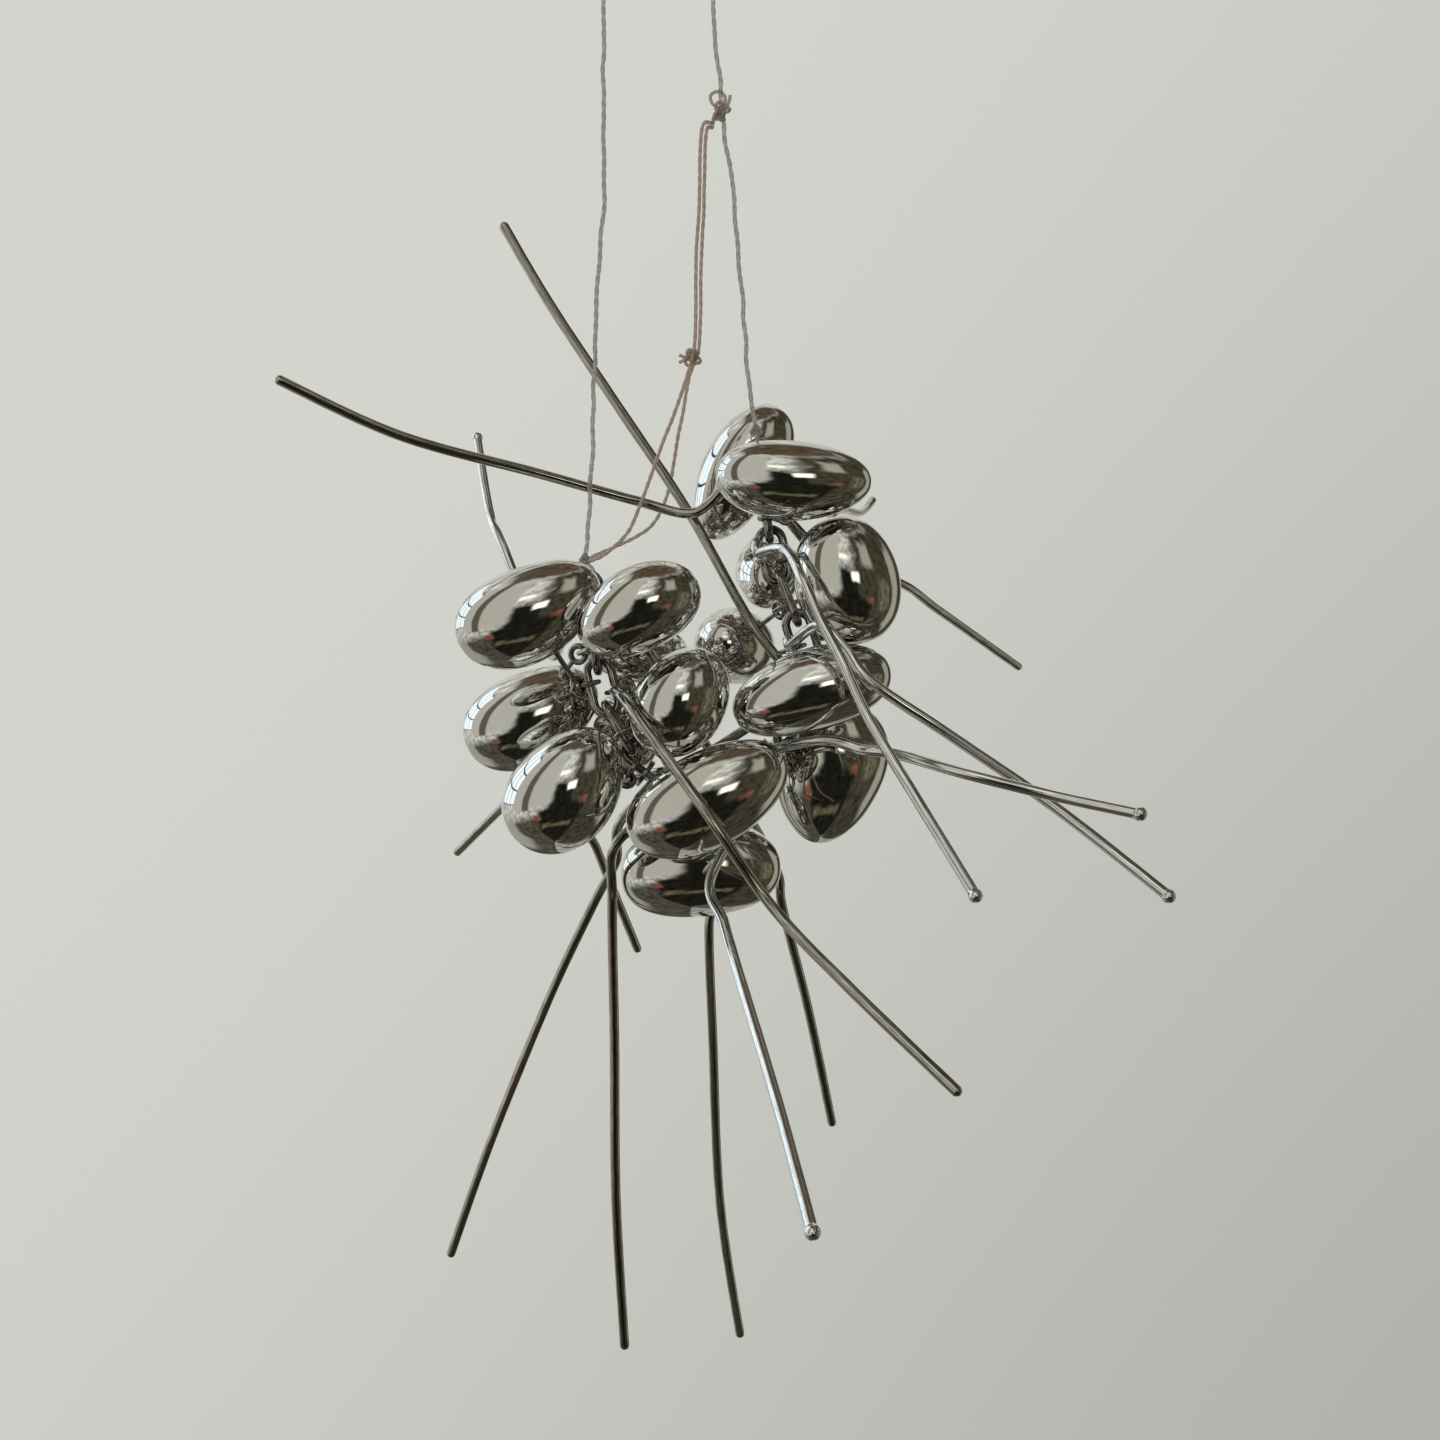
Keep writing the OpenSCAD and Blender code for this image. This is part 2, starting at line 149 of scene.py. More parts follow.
LEFT_THREAD = [(-7, 0, -12.5), (-6.8, 0, -20), (-7, 0, -30), (-6.8, -0.1, -40), (-7.5, -0.1, -50),
               (-8, -0.2, -60), (-8.2, -0.2, -70), (-8.6, -0.3, -80), (-9.2, -0.3, -87)]
RIGHT_THREAD = [(7, 0, -12.5), (7, 0, -17), (7.6, 0, -23), (8.4, 0, -31), (9.3, -0.1, -38),
                (10.2, -0.2, -47), (11, -0.2, -56), (11.7, -0.3, -65), (12.5, -0.3, -70.6)]
FRONT_STRAND = [(7, -0.8, -32), (5.7, -1.2, -33), (5.4, -1.3, -42), (5, -1.5, -50),
                (4.8, -1.6, -60), (4, -1.8, -64), (2, -2, -70), (0, -2.2, -75),
                (-1.5, -2.4, -79.5), (-3.5, -2.4, -84), (-6.5, -2, -87), (-8.8, -0.7, -87.8)]
BACK_STRAND = [(7, 0.8, -32), (6.2, 0.2, -33), (6, 0.1, -42), (5.6, 0, -50), (5.4, 0, -60),
               (4, 1, -64), (3, 2, -69), (2, 5, -73.5), (1.4, 6, -77), (0.5, 5.7, -80),
               (-1, 5.2, -82.5), (-3, 4.7, -84), (-6, 4.2, -85.5), (-9, 3.2, -87),
               (-10.5, 2, -88.3), (-9.6, 0.4, -88.2)]
UPPER_KNOT = Vector((8.2, 0.1, -30))
LOWER_KNOT = Vector((4.5, -0.8, -62))

# ---- Curves and meshes ----


def smooth_path(points, steps):
    """A Catmull-Rom curve through the points, in millimetres."""
    p = [Vector(v) for v in points]
    out = []
    for i in range(len(p) - 1):
        a = p[max(i - 1, 0)]
        b = p[i]
        c = p[i + 1]
        d = p[min(i + 2, len(p) - 1)]
        for k in range(steps):
            t = k / steps
            bend = (2 * a - 5 * b + 4 * c - d) * t * t
            twist = (3 * b - a - 3 * c + d) * t * t * t
            out.append(0.5 * (2 * b + (c - a) * t + bend + twist))
    out.append(p[-1])
    return out


def even_path(points, gap):
    """The same path with a point every gap millimetres."""
    out = [points[0]]
    left = gap
    for a, b in zip(points, points[1:]):
        length = (b - a).length
        at = left
        while at < length:
            out.append(a.lerp(b, at / length))
            at += gap
        left = at - length
    if (out[-1] - points[-1]).length < gap / 2:
        out.pop()
    out.append(points[-1])
    return out


def make_object(name, verts, faces, uvs=None):
    mesh = bpy.data.meshes.new(name)
    mesh.from_pydata([v * MM for v in verts], [], faces)
    if uvs:
        layer = mesh.uv_layers.new(name="along")
        for loop in mesh.loops:
            layer.data[loop.index].uv = uvs[loop.vertex_index]
    for polygon in mesh.polygons:
        polygon.use_smooth = True
    piece = bpy.data.objects.new(name, mesh)
    bpy.context.collection.objects.link(piece)
    return piece


def tube_parts(path, radius_at, sides, start=0):
    """Rings of points along a path. radius_at(i, angle) gives the wire's radius in millimetres."""
    verts = []
    faces = []
    uvs = []
    last = len(path) - 1
    side = None
    length = 0
    for i, point in enumerate(path):
        tangent = (path[min(i + 1, last)] - path[max(i - 1, 0)]).normalized()
        if side is None:
            side = tangent.orthogonal()
        side = (side - tangent.dot(side) * tangent).normalized()
        up = tangent.cross(side)
        if i:
            length += (point - path[i - 1]).length
        for j in range(sides):
            angle = TURN * j / sides
            r = radius_at(i, angle)
            verts.append(point + r * (math.cos(angle) * side + math.sin(angle) * up))
            uvs.append((j / sides, length))
    for i in range(last):
        for j in range(sides):
            a = start + i * sides + j
            b = start + i * sides + (j + 1) % sides
            faces.append((a, b, b + sides, a + sides))
    faces.append(tuple(start + j for j in range(sides - 1, -1, -1)))
    faces.append(tuple(start + last * sides + j for j in range(sides)))
    return verts, faces, uvs


def tubes(name, paths, radius_at, sides):
    """One object of several tubes."""
    verts = []
    faces = []
    uvs = []
    for path in paths:
        v, f, u = tube_parts(path, radius_at, sides, len(verts))
        verts += v
        faces += f
        uvs += u
    return make_object(name, verts, faces, uvs)


# ---- Materials ----


def new_material(name, colour, metallic, roughness):
    material = bpy.data.materials.new(name)
    material.use_nodes = True
    shader = material.node_tree.nodes["Principled BSDF"]
    shader.inputs["Base Color"].default_value = (*colour, 1)
    shader.inputs["Metallic"].default_value = metallic
    shader.inputs["Roughness"].default_value = roughness
    return material, material.node_tree, shader


def noise_node(tree, scale, detail=3, stretch=None, source="Object"):
    """A noise texture in object space, or along a wire where stretch and the UV map are given."""
    place = tree.nodes.new("ShaderNodeTexCoord")
    texture = tree.nodes.new("ShaderNodeTexNoise")
    texture.inputs["Scale"].default_value = scale
    texture.inputs["Detail"].default_value = detail
    link = place.outputs[source]
    if stretch:
        mapping = tree.nodes.new("ShaderNodeMapping")
        mapping.inputs["Scale"].default_value = stretch
        tree.links.new(link, mapping.inputs["Vector"])
        link = mapping.outputs["Vector"]
    tree.links.new(link, texture.inputs["Vector"])
    return texture


def spread(tree, texture, low, high, low_in=0.3, high_in=0.7):
    """Maps a texture's grey to low..high."""
    node = tree.nodes.new("ShaderNodeMapRange")
    node.inputs["From Min"].default_value = low_in
    node.inputs["From Max"].default_value = high_in
    node.inputs["To Min"].default_value = low
    node.inputs["To Max"].default_value = high
    tree.links.new(texture.outputs["Fac"], node.inputs["Value"])
    return node


def tint(tree, texture, first, second):
    """Mixes two colours by a texture."""
    ramp = tree.nodes.new("ShaderNodeValToRGB")
    ramp.color_ramp.elements[0].position = 0.35
    ramp.color_ramp.elements[0].color = (*first, 1)
    ramp.color_ramp.elements[1].position = 0.65
    ramp.color_ramp.elements[1].color = (*second, 1)
    tree.links.new(texture.outputs["Fac"], ramp.inputs["Fac"])
    return ramp


def add_bump(tree, shader, texture, strength, distance):
    bump = tree.nodes.new("ShaderNodeBump")
    bump.inputs["Strength"].default_value = strength
    bump.inputs["Distance"].default_value = distance
    tree.links.new(texture.outputs["Fac"], bump.inputs["Height"])
    tree.links.new(bump.outputs["Normal"], shader.inputs["Normal"])


def polished_metal():
    """Mirror-polished silvery metal with the faint haze of handling."""
    material, tree, shader = new_material("polished_pebble", (0.71, 0.70, 0.67), 1, 0.03)
    haze = noise_node(tree, 160, 4)
    tree.links.new(spread(tree, haze, 0.015, 0.06).outputs["Result"], shader.inputs["Roughness"])
    tone = noise_node(tree, 60, 2)
    warm = tint(tree, tone, (0.68, 0.66, 0.62), (0.74, 0.735, 0.71))
    tree.links.new(warm.outputs["Color"], shader.inputs["Base Color"])
    add_bump(tree, shader, noise_node(tree, 900, 2), 0.04, 0.00005)
    return material


def drawn_wire(name, dark, light, rough):
    """Round wire with draw lines along it."""
    material, tree, shader = new_material(name, light, 1, rough)
    lines = noise_node(tree, 1, 5, stretch=(26, 0.5, 1), source="UV")
    tree.links.new(tint(tree, lines, dark, light).outputs["Color"], shader.inputs["Base Color"])
    dull = spread(tree, lines, rough * 0.6, rough * 1.6)
    tree.links.new(dull.outputs["Result"], shader.inputs["Roughness"])
    add_bump(tree, shader, lines, 0.12, 0.00004)
    return material


def small_metal(name, dark, light, rough):
    """Worn wire of the chain, rings, eyes and hooks, its tones differing at random between the two
    colours given; the chain's colours also hold painted shade.
    """
    material, tree, shader = new_material(name, light, 1, rough)
    wear = noise_node(tree, 700, 4)
    tree.links.new(tint(tree, wear, dark, light).outputs["Color"], shader.inputs["Base Color"])
    dull = spread(tree, wear, rough * 0.5, rough * 1.5)
    tree.links.new(dull.outputs["Result"], shader.inputs["Roughness"])
    add_bump(tree, shader, noise_node(tree, 2500, 3), 0.15, 0.00003)
    return material


def twisted_fibre(name, dark, light, clear):
    """Fine twisted fibre with a silky shine."""
    material, tree, shader = new_material(name, light, 0, 0.45)
    strands = noise_node(tree, 1, 4, stretch=(9, 2.2, 1), source="UV")
    tree.links.new(tint(tree, strands, dark, light).outputs["Color"], shader.inputs["Base Color"])
    tree.links.new(spread(tree, strands, 0.55, 0.35).outputs["Result"], shader.inputs["Roughness"])
    shader.inputs["Transmission Weight"].default_value = clear
    shader.inputs["Sheen Weight"].default_value = 0.3
    shader.inputs["Specular IOR Level"].default_value = 0.6
    add_bump(tree, shader, strands, 0.4, 0.00008)
    return material


def dress(piece, body, material):
    piece.data.materials.clear()
    piece.data.materials.append(material)
    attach(piece, body)


# ---- Camera ----


def make_camera():
    data = bpy.data.cameras.new("camera")
    data.sensor_width = CAMERA_SENSOR
    data.lens = CAMERA_LENS
    camera = bpy.data.objects.new("camera", data)
    camera.location = CAMERA_AT
    camera.rotation_euler = (math.pi / 2, 0, 0)
    bpy.context.collection.objects.link(camera)
    scene.camera = camera


# ---- Threads and cord ----


def wavy(path, amount, pitch):
    """A path that wanders a little from side to side, as a light thread does."""
    out = []
    last = len(path) - 1
    for i, point in enumerate(path):
        ease = min(1, i / 12, (last - i) / 12)
        shift = Vector((noise.noise(point / pitch), noise.noise(point / pitch + Vector((9, 3, 5))), 0))
        out.append(point + amount * ease * shift)
    return out


def twisted(d, pitch, gap):
    """The radius of a cord of two plies."""
    def radius_at(i, angle):
        ply = abs(math.cos(angle - TURN * i * gap / pitch))
        return d / 2 * (0.72 + 0.28 * ply)
    return radius_at


def make_cord(name, route, d, material, amount):
    gap = d / 3
    path = wavy(even_path(smooth_path(route, CORD_STEPS), gap), amount, 4)
    piece = tubes(name, [path], twisted(d, 5 * d, gap), 12)
    dress(piece, HANGING, material)
    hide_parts(name)
    return piece, path


def trefoil(centre, size, turn):
    """A small overhand knot's line."""
    out = []
    for k in range(TREFOIL_POINTS):
        t = TURN * k / TREFOIL_POINTS
        p = Vector((
            math.sin(t) + 2 * math.sin(2 * t),
            -math.sin(3 * t),
            math.cos(t) - 2 * math.cos(2 * t),
        ))
        out.append(centre + size / 3 * (Matrix.Rotation(turn, 3, "Y") @ p))
    return out


def loop_path(centre, radius, first, second):
    """A full round in the plane of two directions, closed by a small overlap."""
    out = []
    for k in range(50):
        a = TURN * k / 48
        out.append(centre + radius * (math.cos(a) * first + math.sin(a) * second))
    return out


def make_thread_knots(material):
    """The loops round the hooks and the chain's ends, each closed by an overhand knot."""
    x = Vector((1, 0, 0))
    y = Vector((0, 1, 0))
    z = Vector((0, 0, 1))
    paths = []
    for side in (-1, 1):
        paths.append(loop_path(Vector((side * HOOK_X, 0, -10.15)), LOOP_R, z, y))
        paths.append(trefoil(Vector((side * HOOK_X, 0, -12.1)), 0.62, side))
    for route, turn in ((LEFT_THREAD, 1), (RIGHT_THREAD, -1)):
        end = Vector(route[-1])
        away = (end - Vector(route[-2])).normalized()
        knot = end + 0.5 * away
        across = y if turn < 0 else x
        paths.append(trefoil(knot, 0.62, turn))
        paths.append(loop_path(knot + (0.6 + LOOP_R) * away, LOOP_R * 0.96, away, across))
    piece = tubes("thread_loops", paths, lambda i, a: THREAD_D / 2 * 0.8, 10)
    dress(piece, HANGING, material)
    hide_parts("thread_knots")
    return piece


def make_upper_knot(material):
    """The tan cord's hitch on the right thread, with its small loop and a cut tail."""
    loop = [UPPER_KNOT + Vector(v) for v in (
        (-0.3, 0, 0.3), (-1.2, 0.3, 1.0), (-1.4, 0.2, 2.0), (-0.5, 0, 2.4), (0.4, -0.1, 1.8),
        (0.4, 0, 0.9), (0, 0, 0.2))]
    tail = [UPPER_KNOT + Vector(v) for v in (
        (0, 0, -0.2), (0.7, -0.4, 0.4), (1.0, -0.5, 1.1), (1.1, -0.5, 1.7))]
    paths = [
        trefoil(UPPER_KNOT, 1.05, 0.4),
        trefoil(UPPER_KNOT + Vector((-0.2, 0, -0.7)), 0.75, 1.5),
        even_path(smooth_path(loop, KNOT_STEPS), KNOT_GAP),
        even_path(smooth_path(tail, KNOT_STEPS), KNOT_GAP),
    ]
    for strand in (FRONT_STRAND, BACK_STRAND):
        start = Vector(strand[0])
        rise = UPPER_KNOT + Vector((-0.9, start.y / 2, -0.9))
        climb = smooth_path([start, rise, UPPER_KNOT], KNOT_STEPS)
        paths.append(even_path(climb, KNOT_GAP))
    piece = tubes("cord_hitch", paths, lambda i, a: CORD_D / 2 * 0.85, 10)
    dress(piece, HANGING, material)
    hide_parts("upper_cord_knot")
    return piece


def make_lower_knot(material):
    """The overhand knot where the two strands part, with two short tails."""
    paths = [trefoil(LOWER_KNOT, 1.05, 0.9), trefoil(LOWER_KNOT + Vector((0, 0, 0.5)), 0.8, 2.2)]
    for drop in (-0.5, 0.3):
        tail = [LOWER_KNOT + Vector(v) for v in (
            (0, 0, 0), (-0.9, -0.3, drop * 0.4), (-1.7, -0.4, drop * 1.2))]
        paths.append(even_path(smooth_path(tail, KNOT_STEPS), KNOT_GAP))
    piece = tubes("cord_knot", paths, lambda i, a: CORD_D / 2 * 0.85, 10)
    dress(piece, HANGING, material)
    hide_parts("lower_cord_knot")
    return piece


def make_cords():
    thread = twisted_fibre("silver_thread", (0.50, 0.49, 0.47), (0.95, 0.94, 0.91), 0.6)
    tan = twisted_fibre("tan_cord", (0.70, 0.54, 0.46), (0.93, 0.79, 0.70), 0.5)
    left, left_path = make_cord("left_thread", LEFT_THREAD, THREAD_D, thread, 0.35)
    right, right_path = make_cord("right_thread", RIGHT_THREAD, THREAD_D, thread, 0.35)
    front, front_path = make_cord(
        "front_cord_strand", FRONT_STRAND, CORD_D, tan, 0.15)
    back, back_path = make_cord("back_cord_strand", BACK_STRAND, CORD_D, tan, 0.15)
    knots = make_thread_knots(thread)
    hitch = make_upper_knot(tan)
    parting = make_lower_knot(tan)


# ---- Pins ----


def joint_of(body):
    for joint in frame["record"]["behaviour"]["joints"]:
        if joint["child"] == body:
            return Vector(joint["pos_m"]) / MM, Vector(joint["axis"])
    raise ValueError("no joint for " + body)


def pin_path(name, route):
    """The wire's line: a loop about the joint's swing point, and then the route to the tip.

    The swing point is where the jump ring passes, so this loop stands about half a millimetre
    off the CAD part's eye and touches the chain.
    """
    centre, axis = joint_of(name)
    way = Vector(route[0]) - centre
    way = (way - way.dot(axis) * axis).normalized()
    around = axis.cross(way)
    loop = []
    for k in range(40):
        a = math.radians(24 + 336 * k / 40)
        loop.append(centre + PIN_EYE_R * (math.cos(a) * way + math.sin(a) * around))
    root = centre + PIN_EYE_R * way
    shank = smooth_path([tuple(root)] + route, PIN_STEPS)
    return loop + even_path(shank, PIN_GAP)


def pin_radius(path, ball):
    """Even wire with slight flats, and a ball or a round tip."""
    last = len(path) - 1
    to_tip = [0]
    for a, b in zip(path[::-1], path[::-1][1:]):
        to_tip.append(to_tip[-1] + (b - a).length)
    to_tip = to_tip[::-1]

    def radius_at(i, angle):
        point = path[i]
        flat = 0.035 * noise.noise(point * 0.35) * math.cos(2 * angle + point.z * 0.05)
        r = PIN_R * (1 + flat)
        end = to_tip[i]
        if ball and end < 2 * BALL_TIP_R:
            bulge = math.sqrt(max(0, 1 - (1 - end / BALL_TIP_R) ** 2)) * BALL_TIP_R
            r = max(bulge, r) if end > BALL_TIP_R else bulge
        elif end < PIN_R:
            r *= math.sqrt(max(0, 1 - (1 - end / PIN_R) ** 2))
        return max(r, 0.05) if i < last else 0.05
    return radius_at


def finish_tip(path, ball):
    """More points near the tip, so that its end is round."""
    reach = 2 * (BALL_TIP_R if ball else PIN_R)
    kept = list(path)
    tip = kept[-1]
    while (kept[-1] - tip).length < reach:
        kept.pop()
    start = kept[-1]
    quarter = math.pi / 2
    return kept + [
        start.lerp(tip, math.sin(quarter * k / TIP_RINGS)) for k in range(1, TIP_RINGS + 1)
    ]


def make_pins():
    bright = drawn_wire("bright_pin", (0.66, 0.67, 0.68), (0.90, 0.90, 0.90), 0.10)
    dark = drawn_wire("dark_pin", (0.30, 0.28, 0.24), (0.58, 0.56, 0.51), 0.08)
    for i, (ball, route) in enumerate(PINS):
        name = f"pin_{i + 1}"
        path = finish_tip(pin_path(name, route), ball)
        piece = tubes(f"{name}_wire", [path], pin_radius(path, ball), 20)
        dress(piece, name, bright if ball else dark)
        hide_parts(name)


# ---- Pebbles ----


def pebble_surface(size, fatter, bend, fullness, seed):
    """An egg along X whose surface undulates very slightly, as hand-polished metal does."""
    rows = PEBBLE_ROWS
    sides = PEBBLE_SIDES
    length, width, thickness = size
    verts = [Vector((-length / 2, 0, 0))]
    for i in range(1, rows):
        a = math.pi * i / rows
        r = math.sin(a) ** fullness * (1 - fatter * math.cos(a))
        lift = bend * (math.sin(a) ** 2 - 0.5) * math.sin(a)
        for j in range(sides):
            b = TURN * j / sides
            verts.append(Vector((
                -length / 2 * math.cos(a),
                thickness / 2 * r * math.cos(b),
                width / 2 * r * math.sin(b) + lift,
            )))
    verts.append(Vector((length / 2, 0, 0)))
    offset = Vector((seed * 7.3, seed * 3.1, seed * 5.7))
    verts = [v * (0.988 + 0.012 * noise.noise(v * 0.16 + offset)) for v in verts]
    last = len(verts) - 1
    faces = []
    for i in range(rows - 2):
        for j in range(sides):
            a = 1 + i * sides + j
            b = 1 + i * sides + (j + 1) % sides
            faces.append((a, a + sides, b + sides, b))
    for j in range(sides):
        faces.append((0, 1 + j, 1 + (j + 1) % sides))
        faces.append((last, last - sides + (j + 1) % sides, last - sides + j))
    return verts, faces


def make_pebbles():
    metal = polished_metal()
    for i, (middle, angles, size, fatter, bend, fullness) in enumerate(PEBBLES):
        name = f"pebble_{i + 1}"
        verts, faces = pebble_surface(size, fatter, bend, fullness, i)
        heading, dip, roll = (math.radians(a) for a in angles)
        turn = (
            Matrix.Rotation(-heading, 3, "Y")
            @ Matrix.Rotation(dip, 3, "Z")
            @ Matrix.Rotation(roll, 3, "X")
        )
        piece = make_object(f"{name}_shell", [Vector(middle) + turn @ v for v in verts], faces)
        dress(piece, name, metal)
        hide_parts(name)


# ---- Hooks and chain ----


def lathe(profile, x, sides=48):
    """A turned shape about the vertical line at x. The profile is (radius, z) from top to bottom."""
    verts = []
    for r, z in profile:
        for j in range(sides):
            a = TURN * j / sides
            verts.append(Vector((x + r * math.cos(a), r * math.sin(a), z)))
    faces = []
    for i in range(len(profile) - 1):
        for j in range(sides):
            a = i * sides + j
            b = i * sides + (j + 1) % sides
            faces.append((a, a + sides, b + sides, b))
    faces.append(tuple(range(sides)))
    faces.append(tuple((len(profile) - 1) * sides + j for j in range(sides - 1, -1, -1)))
    return verts, faces


def screw_shank(x):
    """A tapered shank with a rolled screw thread."""
    rows = 150
    sides = 48
    verts = []
    for i in range(rows + 1):
        z = -COLLAR_H / 2 + (SHANK_LENGTH + COLLAR_H / 2) * i / rows
        taper = min(1, (SHANK_LENGTH - z) / 2.5)
        for j in range(sides):
            a = TURN * j / sides
            phase = (z / SCREW_PITCH - j / sides) % 1
            ridge = max(0, 1 - abs(phase - 0.5) * 4)
            r = (SHANK_CORE_R + (SHANK_R - SHANK_CORE_R) * ridge) * max(taper, 0.08)
            verts.append(Vector((x + r * math.cos(a), r * math.sin(a), z)))
    faces = []
    for i in range(rows):
        for j in range(sides):
            a = i * sides + j
            b = i * sides + (j + 1) % sides
            faces.append((a, b, b + sides, a + sides))
    faces.append(tuple(range(sides - 1, -1, -1)))
    faces.append(tuple(rows * sides + j for j in range(sides)))
    return verts, faces


def hook_line(x):
    """The line of a hook's wire: down the stem and round the bend to the tip."""
    points = [Vector((x, 0, -COLLAR_H)), Vector((x, 0, HOOK_BEND_Z + HOOK_BEND + 0.6))]
    for k in range(60):
        a = math.radians(95 + 245 * k / 59)
        points.append(Vector((x + HOOK_BEND * math.cos(a), 0, HOOK_BEND_Z + HOOK_BEND * math.sin(a))))
    return even_path(points, HOOK_GAP)


def make_hooks(material):
    for name, side in (("left_hook", -1), ("right_hook", 1)):
        x = side * HOOK_X
        path = hook_line(x)
        last = len(path) - 1

        def radius_at(i, angle, last=last):
            to_tip = (last - i) * HOOK_GAP
            stem = max(0, 1 - i / 14) * (STEM_R - HOOK_WIRE_R)
            round_tip = math.sqrt(max(0.02, 1 - max(0, 1 - to_tip / HOOK_WIRE_R) ** 2))
            return (HOOK_WIRE_R + stem) * round_tip

        verts, faces, _ = tube_parts(path, radius_at, 24)
        collar = [(0.3, 0), (COLLAR_R - 0.15, 0), (COLLAR_R, -0.15), (COLLAR_R, -0.45),
                  (COLLAR_R - 0.3, -0.75), (1.5, -COLLAR_H), (0.3, -COLLAR_H)]
        for more in (lathe(collar, x), screw_shank(x)):
            first = len(verts)
            verts += more[0]
            faces += [tuple(first + k for k in face) for face in more[1]]
        piece = make_object(f"{name}_shape", verts, faces)
        dress(piece, HOOKS, material)
        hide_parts(name)


def dress_nodes(names, material):
    """Gives CAD parts whose shape is right a better material."""
    for name in names:
        node = frame["nodes"][name]
        node.data.materials.clear()
        node.data.materials.append(material)
        for polygon in node.data.polygons:
            polygon.use_smooth = True


# ---- Light ----


class Room:
    """The light round the object, painted by direction on the world."""

    def __init__(self):
        world = bpy.data.worlds.new("room")
        scene.world = world
        world.use_nodes = True
        self.tree = world.node_tree
        self.tree.nodes.clear()
        place = self.tree.nodes.new("ShaderNodeTexCoord")
        unit = self.tree.nodes.new("ShaderNodeVectorMath")
        unit.operation = "NORMALIZE"
        self.tree.links.new(place.outputs["Generated"], unit.inputs[0])
        self.direction = unit.outputs["Vector"]
        split = self.tree.nodes.new("ShaderNodeSeparateXYZ")
        self.tree.links.new(self.direction, split.inputs["Vector"])
        self.x, self.y, self.z = split.outputs["X"], split.outputs["Y"], split.outputs["Z"]
        behind = self.maths("MULTIPLY", self.y, -1)
        around = self.maths("ARCTAN2", self.x, behind)
        self.azimuth = self.maths("MULTIPLY", around, 360 / TURN)
        self.elevation = self.maths("MULTIPLY", self.maths("ARCSINE", self.z), 360 / TURN)

    def maths(self, operation, a, b=None):
        node = self.tree.nodes.new("ShaderNodeMath")
        node.operation = operation
        for k, value in enumerate((a, b)):
            if value is None:
                continue
            if isinstance(value, (int, float)):
                node.inputs[k].default_value = value
            else:
                self.tree.links.new(value, node.inputs[k])
        return node.outputs["Value"]

    def step(self, value, edge, soft, rising):
        node = self.tree.nodes.new("ShaderNodeMapRange")
        node.interpolation_type = "SMOOTHSTEP"
        node.inputs["From Min"].default_value = edge - soft
        node.inputs["From Max"].default_value = edge + soft
        node.inputs["To Min"].default_value = 0 if rising else 1
        node.inputs["To Max"].default_value = 1 if rising else 0
        self.tree.links.new(value, node.inputs["Value"])
        return node.outputs["Result"]

    def patch(self, azimuths, elevations, soft, wobble=0):
        """How much a direction lies in a patch of the room, 0 to 1, with angles in degrees."""
        az = self.azimuth
        el = self.elevation
        if wobble:
            az = self.maths("ADD", az, self.maths("MULTIPLY", self.clutter(2.5), wobble))
            el = self.maths("ADD", el, self.maths("MULTIPLY", self.clutter(3.1), wobble))
        inside = self.maths("MULTIPLY", self.step(az, azimuths[0], soft, True),
                            self.step(az, azimuths[1], soft, False))
        height = self.maths("MULTIPLY", self.step(el, elevations[0], soft, True),
                            self.step(el, elevations[1], soft, False))
        return self.maths("MULTIPLY", inside, height)

    def clutter(self, scale):
        """Smooth noise by direction, about -0.5 to 0.5."""
        node = self.tree.nodes.new("ShaderNodeTexNoise")
        node.inputs["Scale"].default_value = scale
        node.inputs["Detail"].default_value = 3
        self.tree.links.new(self.direction, node.inputs["Vector"])
        return self.maths("SUBTRACT", node.outputs["Fac"], 0.5)

    def mix(self, factor, first, second):
        node = self.tree.nodes.new("ShaderNodeMix")
        node.data_type = "RGBA"
        for name, value in (("Factor", factor), ("A", first), ("B", second)):
            sockets = [s for s in node.inputs if s.name == name and s.enabled]
            socket = sockets[0]
            if isinstance(value, tuple):
                socket.default_value = (*value, 1)
            elif isinstance(value, (int, float)):
                socket.default_value = value
            else:
                self.tree.links.new(value, socket)
        return [s for s in node.outputs if s.enabled][0]

    def scaled(self, colour, factor):
        node = self.tree.nodes.new("ShaderNodeVectorMath")
        node.operation = "SCALE"
        self.tree.links.new(colour, node.inputs[0])
        self.tree.links.new(factor, node.inputs["Scale"])
        return node.outputs["Vector"]


WALL_BRIGHT = (0.655, 0.66, 0.61)
WALL_DARK = (0.345, 0.35, 0.315)
WINDOW = (1.25, 1.42, 1.5)
FRAME_BAR = (0.03, 0.035, 0.04)


def paint_wall(room):
    """The pale wall: brightest up on the left, and darker down on the right."""
    slope = room.maths("SUBTRACT", room.maths("MULTIPLY", room.x, 0.6),
                       room.maths("MULTIPLY", room.z, 0.5))
    shade = room.step(slope, 0.28, 0.58, True)
    return room.mix(shade, WALL_BRIGHT, WALL_DARK)


def paint_window(room, colour, azimuths, elevations, columns, rows):
    """A window of bright panes with thin dark bars."""
    colour = room.mix(room.patch(azimuths, elevations, 0.6), colour, FRAME_BAR)
    pane_w = (azimuths[1] - azimuths[0]) / columns
    pane_h = (elevations[1] - elevations[0]) / rows
    for c in range(columns):
        for r in range(rows):
            left = azimuths[0] + c * pane_w
            low = elevations[0] + r * pane_h
            pane = room.patch((left + 0.8, left + pane_w - 0.8), (low + 0.8, low + pane_h - 0.8), 0.5)
            colour = room.mix(pane, colour, WINDOW)
    return colour


def paint_patches(room, colour, patches):
    for azimuths, elevations, soft, wobble, tone in patches:
        colour = room.mix(room.patch(azimuths, elevations, soft, wobble), colour, tone)
    return colour


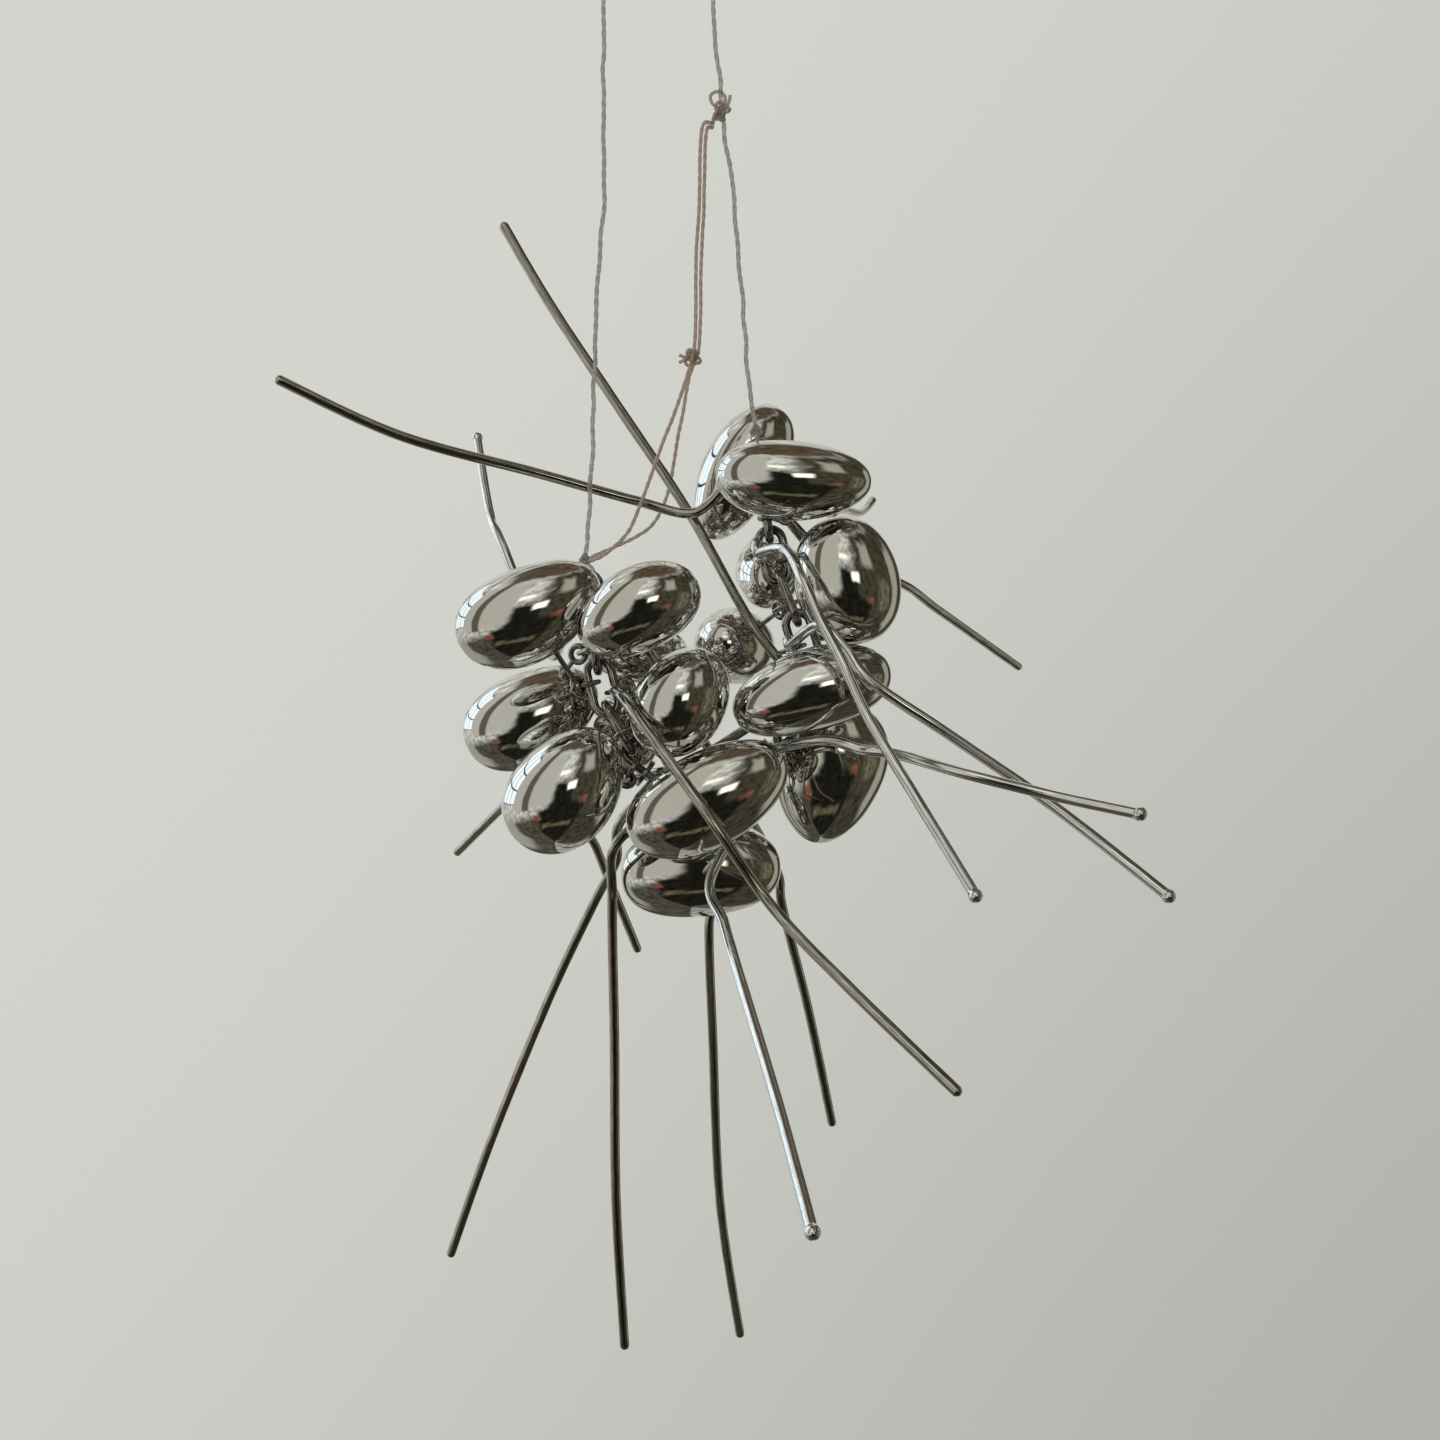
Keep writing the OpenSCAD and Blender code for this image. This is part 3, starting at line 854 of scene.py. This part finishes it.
def light_room():
    """The only light: a room painted on the world, with a window, lit walls and dark parts.

    The camera sees the plain wall alone. The rest of the room shows only in reflections.
    """
    room = Room()
    wall = paint_wall(room)
    # Each patch: azimuths, elevations, softness of its edge, wobble of its edge, colour.
    clutter = (
        ((14, 150), (-90, 62), 8, 26, (0.06, 0.055, 0.037)),
        ((58, 84), (-24, 12), 5, 24, (0.17, 0.15, 0.10)),
        ((-200, 14), (-100, -24), 8, 20, (0.085, 0.08, 0.06)),
        ((-18, 20), (-100, 18), 5, 16, (0.012, 0.014, 0.010)),
        ((-34, 40), (-90, -16), 6, 20, (0.015, 0.014, 0.010)),
        ((-44, -30), (-33, -24), 3, 22, (0.24, 0.09, 0.055)),
        ((34, 46), (-22, -12), 3, 22, (0.22, 0.09, 0.06)),
        ((-28, 30), (-52, -44), 4, 22, (0.15, 0.14, 0.085)),
        ((-200, 200), (64, 100), 5, 18, (0.11, 0.08, 0.055)),
    )
    lit = (
        ((-88, -14), (-10, 60), 5, 10, (0.56, 0.55, 0.49)),
        ((-66, -52), (-12, 70), 2, 6, (0.13, 0.12, 0.09)),
        ((28, 50), (20, 48), 5, 16, (0.46, 0.44, 0.37)),
        ((96, 122), (-40, 30), 5, 18, (0.42, 0.41, 0.35)),
        ((-150, -96), (-60, -14), 8, 18, (0.40, 0.40, 0.35)),
        ((8, 20), (3, 14), 3, 7, (2.4, 2.25, 1.85)),
        ((-14, 4), (27, 33), 2.5, 6, (1.5, 1.45, 1.25)),
    )
    colour = paint_patches(room, wall, clutter)
    mottle = room.maths("ADD", 1, room.maths("MULTIPLY", room.clutter(9), 2.4))
    colour = room.scaled(colour, room.maths("MAXIMUM", mottle, 0.15))
    colour = paint_patches(room, colour, lit)
    colour = paint_window(room, colour, (-134, -88), (0, 48), 3, 3)

    path = room.tree.nodes.new("ShaderNodeLightPath")
    seen = room.mix(path.outputs["Is Camera Ray"], colour, wall)
    background = room.tree.nodes.new("ShaderNodeBackground")
    output = room.tree.nodes.new("ShaderNodeOutputWorld")
    room.tree.links.new(seen, background.inputs["Color"])
    room.tree.links.new(background.outputs["Background"], output.inputs["Surface"])


def make_floor():
    """A plain pale floor, a room's height below the ceiling hooks."""
    verts = [Vector((0, 0, -FLOOR_DROP))]
    count = 96
    for k in range(count):
        a = TURN * k / count
        verts.append(Vector((FLOOR_R * math.cos(a), FLOOR_R * math.sin(a), -FLOOR_DROP)))
    faces = [(0, 1 + k, 1 + (k + 1) % count) for k in range(count)]
    floor = make_object("floor", verts, faces)
    material, tree, shader = new_material("pale_floor", (0.92, 0.92, 0.87), 0, 0.8)
    add_bump(tree, shader, noise_node(tree, 20, 3), 0.1, 0.002)
    floor.data.materials.append(material)
    floor.visible_glossy = False


make_camera()
make_cords()
make_pins()
make_pebbles()
make_hooks(small_metal("hook_steel", (0.52, 0.52, 0.50), (0.74, 0.74, 0.72), 0.16))
# The chain, rings and eyes: the links' own dark metal, painted darker still as shade between the
# pebbles.
chain_metal_and_painted_shade = small_metal("chain_metal_and_painted_shade", (0.20, 0.19, 0.17), (0.44, 0.42, 0.39), 0.12)
eye_names = [f"pebble_eye_{i + 1}" for i in range(len(PEBBLES))]
dress_nodes(["chain_links", "jump_rings"] + eye_names, chain_metal_and_painted_shade)
make_floor()
light_room()
scene.view_settings.view_transform = "Standard"
